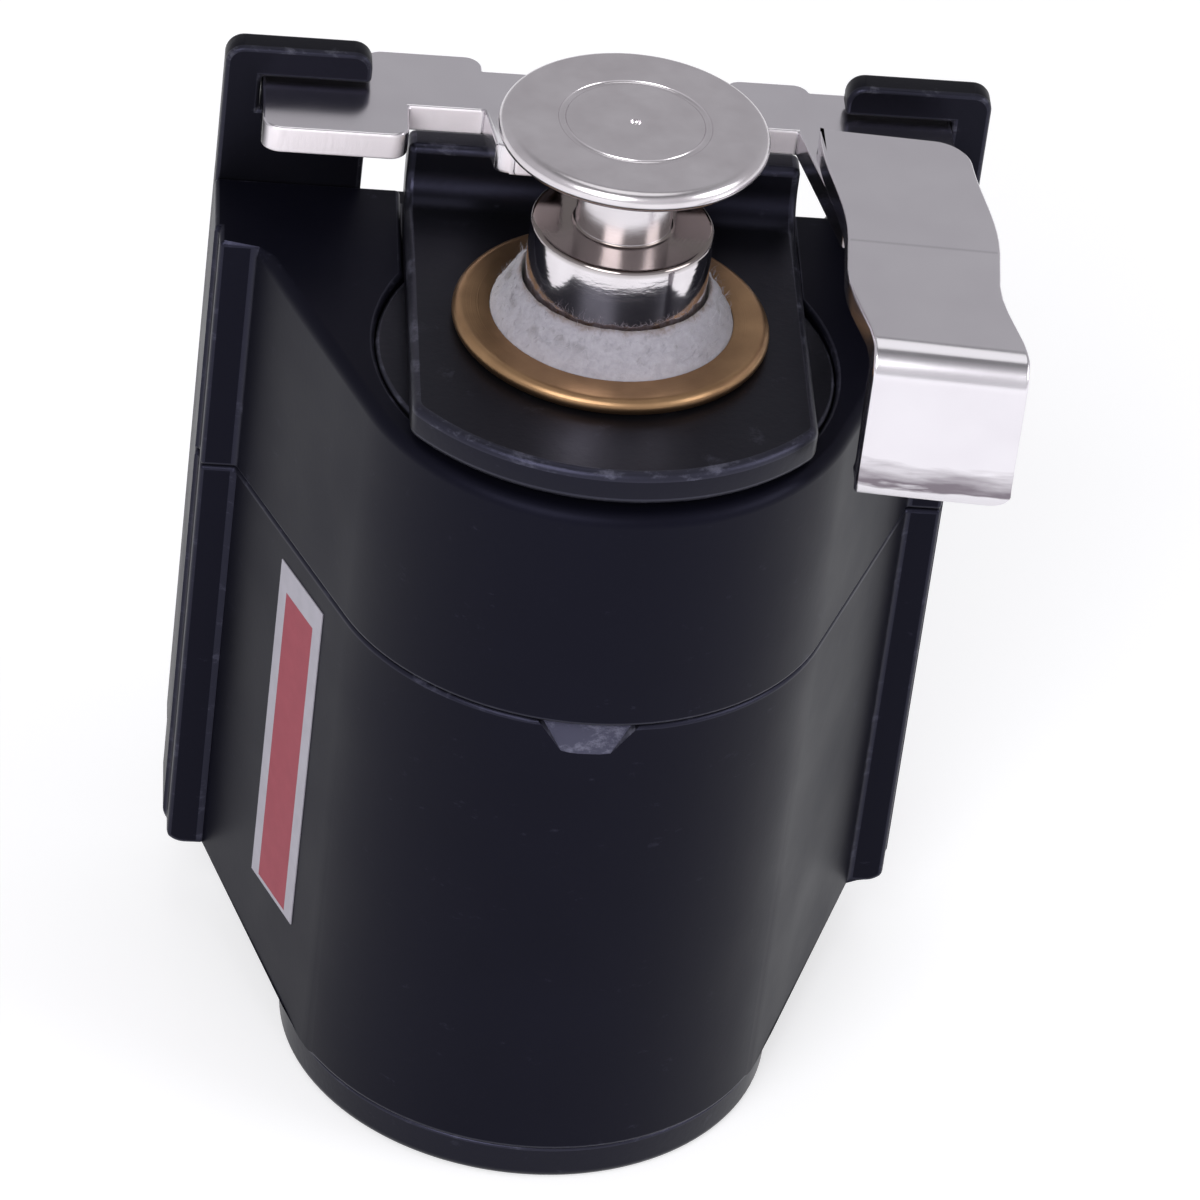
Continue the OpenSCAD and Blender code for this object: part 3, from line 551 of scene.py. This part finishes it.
flare_r = neck_r + neck_fillet
head_mid_z = head_top_z - head_half_t
neck_top_z = head_mid_z - head_half_t - neck_fillet
outline = [(0.0, stud_foot_z), (stud_r, stud_foot_z), (stud_r, shoulder_z)]
outline += arc(flare_r, shoulder_z + neck_fillet, neck_fillet, neck_fillet, -90, -180, 6)
outline += arc(flare_r, neck_top_z, neck_fillet, neck_fillet, 180, 90, 6)
outline += arc(head_r - head_half_t, head_mid_z, head_half_t, head_half_t, -90, 90, 16)
outline += arc(groove_r, head_top_z, groove_half_w, groove_depth, 0, -180, 8)
outline += arc(0.0, head_top_z, centre_mark_r, centre_mark_r, 0, -90, 6)
head = spun_piece("turned_head", outline, 160)
bpy.ops.object.shade_smooth_by_angle(angle=corner_angle)
head.data.materials.append(nickel)
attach(head, "plunger")
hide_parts("plunger_head")

# Lever and arm: stamped steel sheet with satin nickel plating, the arm spot welded on the lever.
# The flat faces are smooth and grey. The cut sides that face the front are painted bright: partly the torn
# band of the stamping, partly a painted highlight from the front lamps; the finger's front stays plain.
# A patchy band near the toe is partly dirt and partly a painted dark reflection, the bar's left end in the
# hook is darkened as painted shade, and a fold crosses the arm.
sheet_edge = 0.0003
finger_y = -0.0125
shaded_end_x = -0.02
arm_inner_x = 0.0165
fold_slope = 0.0515
fold_start_y = 0.0003
fold_end_y = 0.0008
toe_band_rise_z = (0.0709, 0.0715)
toe_band_fade_z = (0.0740, 0.0718)
toe_x = 0.0299
toe_z = 0.0702
slot_start_x = 0.026
slot_end_x = 0.0288
slot_stretch = 0.092
tear_mm = 0.4545
sheet_smear_mm = 5.556
streak_mm = 1.111
sheet, shader, place = new_material("plated_sheet")
axes = add(sheet, "ShaderNodeSeparateXYZ", {"Vector": place})
normal = add(sheet, "ShaderNodeNewGeometry").outputs["Normal"]
facing = add(sheet, "ShaderNodeSeparateXYZ", {"Vector": normal})
# Cut faces that point to the front get a bright, less metallic colour: the torn band plus a painted
# highlight.
fronted = add(sheet, "ShaderNodeMapRange", {"Value": facing.outputs["Y"], "From Min": -0.6,
                                            "From Max": -0.95})
behind = add(sheet, "ShaderNodeMath", {0: axes.outputs["Y"], 1: finger_y}, operation="GREATER_THAN")
cut_band_and_highlight = add(sheet, "ShaderNodeMath", {0: fronted.outputs["Result"], 1: behind.outputs["Value"]},
           operation="MULTIPLY")
tear_map = add(sheet, "ShaderNodeMapping", {"Vector": place, "Scale": (1.0, 1.0, 0.25)})
tear = add(sheet, "ShaderNodeTexNoise", {"Vector": tear_map.outputs["Vector"], "Scale": 1000 / tear_mm,
                                         "Detail": 4.0})
smear = add(sheet, "ShaderNodeTexNoise", {"Vector": place, "Scale": 1000 / sheet_smear_mm, "Detail": 5.0})
tone = add(sheet, "ShaderNodeMix", {"Factor": smear.outputs["Fac"], "A": srgb("#d9d5db"),
                                    "B": srgb("#e7e4e9")}, data_type="RGBA")
cut_colour_and_highlight = add(sheet, "ShaderNodeMix", {"Factor": cut_band_and_highlight.outputs["Value"], "A": tone.outputs["Result"],
                                   "B": srgb("#f2ebf0")}, data_type="RGBA")
streak_map = add(sheet, "ShaderNodeMapping", {"Vector": place, "Scale": (0.3, 0.3, 1.6)})
patchy = add(sheet, "ShaderNodeTexNoise", {"Vector": streak_map.outputs["Vector"],
                                           "Scale": 1000 / streak_mm, "Detail": 4.0})
# A patchy grey band near the toe: partly dirt, partly a painted dark reflection.
wear_and_shade = add(sheet, "ShaderNodeMath", {0: patchy.outputs["Fac"], 1: 0.003, 2: axes.outputs["Z"]},
           operation="MULTIPLY_ADD")
above = add(sheet, "ShaderNodeMapRange", {"Value": wear_and_shade.outputs["Value"], "From Min": toe_band_rise_z[0],
                                          "From Max": toe_band_rise_z[1]})
below = add(sheet, "ShaderNodeMapRange", {"Value": wear_and_shade.outputs["Value"], "From Min": toe_band_fade_z[0],
                                          "From Max": toe_band_fade_z[1]})
band = add(sheet, "ShaderNodeMath", {0: above.outputs["Result"], 1: below.outputs["Result"]},
           operation="MULTIPLY")
toe_dirt_and_shade = add(sheet, "ShaderNodeMix", {"Factor": band.outputs["Value"], "A": cut_colour_and_highlight.outputs["Result"],
                                      "B": srgb("#7d757d")}, data_type="RGBA")
# The bar's left end face, inside the hook, is painted dark: painted shade.
endwise = add(sheet, "ShaderNodeMapRange", {"Value": facing.outputs["X"], "From Min": -0.6, "From Max": -0.9})
caught = add(sheet, "ShaderNodeMath", {0: axes.outputs["X"], 1: shaded_end_x}, operation="LESS_THAN")
end_shade = add(sheet, "ShaderNodeMath", {0: endwise.outputs["Result"], 1: caught.outputs["Value"]},
             operation="MULTIPLY")
end_shaded = add(sheet, "ShaderNodeMix", {"Factor": end_shade.outputs["Value"], "A": toe_dirt_and_shade.outputs["Result"],
                                       "B": srgb("#2a282b")}, data_type="RGBA")
metal = add(sheet, "ShaderNodeMapRange", {"Value": cut_band_and_highlight.outputs["Value"], "To Min": 1.0, "To Max": 0.25})
polish = add(sheet, "ShaderNodeMapRange", {"Value": smear.outputs["Fac"], "To Min": 0.15, "To Max": 0.25})
gloss = add(sheet, "ShaderNodeMath", {0: cut_band_and_highlight.outputs["Value"], 1: 0.3, 2: polish.outputs["Result"]},
            operation="MULTIPLY_ADD")
torn = add(sheet, "ShaderNodeMath", {0: tear.outputs["Fac"], 1: cut_band_and_highlight.outputs["Value"]}, operation="MULTIPLY")
slant = add(sheet, "ShaderNodeMath", {0: axes.outputs["X"], 1: fold_slope, 2: axes.outputs["Y"]},
            operation="MULTIPLY_ADD")
step = add(sheet, "ShaderNodeMapRange", {"Value": slant.outputs["Value"], "From Min": fold_start_y,
                                         "From Max": fold_end_y}, interpolation_type="SMOOTHSTEP")
on_arm = add(sheet, "ShaderNodeMath", {0: axes.outputs["X"], 1: arm_inner_x}, operation="GREATER_THAN")
ridge = add(sheet, "ShaderNodeMath", {0: step.outputs["Result"], 1: on_arm.outputs["Value"]},
            operation="MULTIPLY")
fold = add(sheet, "ShaderNodeBump", {"Strength": 1.0, "Distance": 0.00004, "Height": ridge.outputs["Value"]})
bump = add(sheet, "ShaderNodeBump", {"Strength": 0.3, "Distance": 0.00015, "Height": torn.outputs["Value"],
                                     "Normal": fold.outputs["Normal"]})
feed(sheet, shader, {"Base Color": end_shaded.outputs["Result"], "Metallic": metal.outputs["Result"],
                     "Roughness": gloss.outputs["Value"], "Normal": bump.outputs["Normal"]})


def toe_corner(co):
    return co.z < toe_z and co.x > toe_x


# The bar's ends are drawn out to the hooks, because the solid leaves a light gap there for its swing.
def fill_slots(piece):
    for vert in piece.data.vertices:
        if slot_start_x < abs(vert.co.x) < slot_end_x:
            past_start = abs(vert.co.x) - slot_start_x
            vert.co.x += math.copysign(slot_stretch * past_start, vert.co.x)


bar = rounded_copy("lever", sheet_edge, sheet, sheet, carve=fill_slots, spare=toe_corner)
strip = rounded_copy("lever_arm", sheet_edge, sheet, sheet, spare=toe_corner)
for node, piece in (("lever", bar), ("lever_arm", strip)):
    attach(piece, "lever")
    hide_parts(node)

# Inner and rear parts: magnet iron, coil, spring and seals, which show only when taken apart, and
# the screws and wire inlet at the back, which show from behind and from below.
# Each has the finish of its trade: plain steel, copper wire, tape, fibre and rubber.
# A row gives the nodes, the two tones, how metallic and how rough it is, and its grain in millimetres.
inner = {
    "plain_steel": (["yoke_tube", "fixed_core", "bracket_screws", "return_spring"],
                    "#7d8087", "#9c9fa5", 1.0, 0.35, 2.0),
    "black_rubber": (["wire_grommet", "base_seal", "stop_ring"], "#111112", "#1e1e20", 0.0, 0.7, 1.111),
    "bobbin_nylon": (["coil_bobbin"], "#232328", "#2e2e34", 0.0, 0.5, 1.667),
    "copper_wire": (["coil_winding"], "#8a4a20", "#c47a3e", 1.0, 0.35, 0.8333),
    "coil_tape": (["winding_tape"], "#9b7d2e", "#bf9d48", 0.0, 0.45, 3.333),
    "pressed_fibre": (["coil_washer"], "#5a4632", "#78603f", 0.0, 0.85, 0.7143),
}
for name, (nodes, dark, light, metallic, rough, grain_mm) in inner.items():
    mat, shader, place = new_material(name)
    spots = add(mat, "ShaderNodeTexNoise", {"Vector": place, "Scale": 1000 / grain_mm, "Detail": 4.0})
    tone = add(mat, "ShaderNodeMix", {"Factor": spots.outputs["Fac"], "A": srgb(dark), "B": srgb(light)},
               data_type="RGBA")
    gloss = add(mat, "ShaderNodeMapRange", {"Value": spots.outputs["Fac"], "To Min": rough - 0.06,
                                            "To Max": rough + 0.06})
    bump = add(mat, "ShaderNodeBump", {"Strength": 0.15, "Distance": 0.0001, "Height": spots.outputs["Fac"]})
    feed(mat, shader, {"Base Color": tone.outputs["Result"], "Metallic": metallic,
                       "Roughness": gloss.outputs["Result"], "Normal": bump.outputs["Normal"]})
    for node in nodes:
        finish_solid(node, mat)

# Stage: a pale floor under a soft studio sky. The camera and the bright metal see it as white,
# and the object keeps a soft shadow on it.
floor_glow = 0.48
bpy.ops.object.select_all(action="DESELECT")
bpy.ops.mesh.primitive_plane_add(size=6.0)
floor = bpy.context.object
floor.name = "floor"
pale, shader, place = new_material("pale_floor")
seen = add(pale, "ShaderNodeLightPath")
mirrored = add(pale, "ShaderNodeMath", {0: seen.outputs["Is Glossy Ray"],
                                        1: seen.outputs["Is Transmission Ray"]}, operation="MAXIMUM")
shown = add(pale, "ShaderNodeMath", {0: seen.outputs["Is Camera Ray"], 1: mirrored.outputs["Value"]},
            operation="MAXIMUM")
glow = add(pale, "ShaderNodeMath", {0: shown.outputs["Value"], 1: floor_glow}, operation="MULTIPLY")
feed(pale, shader, {"Base Color": srgb("#d8d8da"), "Roughness": 0.9, "Specular IOR Level": 0.0,
                    "Emission Color": (1.0, 1.0, 1.0, 1.0), "Emission Strength": glow.outputs["Value"]})
floor.data.materials.append(pale)

# Sky: brighter in front of the object than behind it, and dimmer overhead.
world = bpy.data.worlds.new("studio")
bpy.context.scene.world = world
world.use_nodes = True
world.node_tree.nodes.clear()
way = add(world, "ShaderNodeTexCoord")
split = add(world, "ShaderNodeSeparateXYZ", {"Vector": way.outputs["Generated"]})
depth = add(world, "ShaderNodeMapRange", {"Value": split.outputs["Y"], "From Min": -1.0, "From Max": 1.0,
                                          "To Min": 0.75, "To Max": 0.46})
overhead = add(world, "ShaderNodeMapRange", {"Value": split.outputs["Z"], "From Min": 0.66, "From Max": 0.95,
                                             "To Min": 1.0, "To Max": 0.3})
level = add(world, "ShaderNodeMath", {0: depth.outputs["Result"], 1: overhead.outputs["Result"]},
            operation="MULTIPLY")
sky = add(world, "ShaderNodeBackground", {"Color": (0.98, 0.97, 1.0, 1.0),
                                          "Strength": level.outputs["Value"]})
add(world, "ShaderNodeOutputWorld", {"Surface": sky.outputs["Background"]})

# Lamps: round soft boxes that point at the middle of the housing, by place, size and power.
lit_point = Vector((0, 0, 0.05))
lamps = [
    ("key", (-0.25, -0.55, 0.45), 0.5, 3.0),
    ("fill", (0.6, -0.2, 0.35), 0.4, 1.5),
    ("top", (0.0, 0.1, 0.8), 0.5, 0.6),
]
for name, spot, size, power in lamps:
    lamp = bpy.data.lights.new(name, "AREA")
    lamp.shape = "DISK"
    lamp.size = size
    lamp.energy = power
    holder = put_in_scene(name, lamp)
    holder.location = spot
    holder.rotation_euler = (lit_point - Vector(spot)).to_track_quat("-Z", "Y").to_euler()

# Camera: a long lens from the front left that looks down at the object.
# It is turned a little about its own axis, as the photograph leans.
azimuth = math.radians(-6.86)
elevation = math.radians(35.76)
roll = math.radians(7.44)
distance = 0.6218
aim = Vector((0.00242, 0.00249, 0.04382))
level_reach = math.cos(elevation)
back = Vector((math.sin(azimuth) * level_reach, -math.cos(azimuth) * level_reach, math.sin(elevation)))
right = Vector((math.cos(azimuth), math.sin(azimuth), 0.0))
up = back.cross(right)
turned = right * math.cos(roll) + up * math.sin(roll)
upright = up * math.cos(roll) - right * math.sin(roll)
lens = bpy.data.cameras.new("camera")
lens.sensor_width = 36.0
lens.lens = 222.04
lens.clip_end = 50.0
camera = put_in_scene("camera", lens)
stance = Matrix((turned, upright, back)).transposed().to_4x4()
camera.matrix_world = Matrix.Translation(aim + back * distance) @ stance
bpy.context.scene.camera = camera
bpy.context.scene.view_settings.view_transform = "Standard"
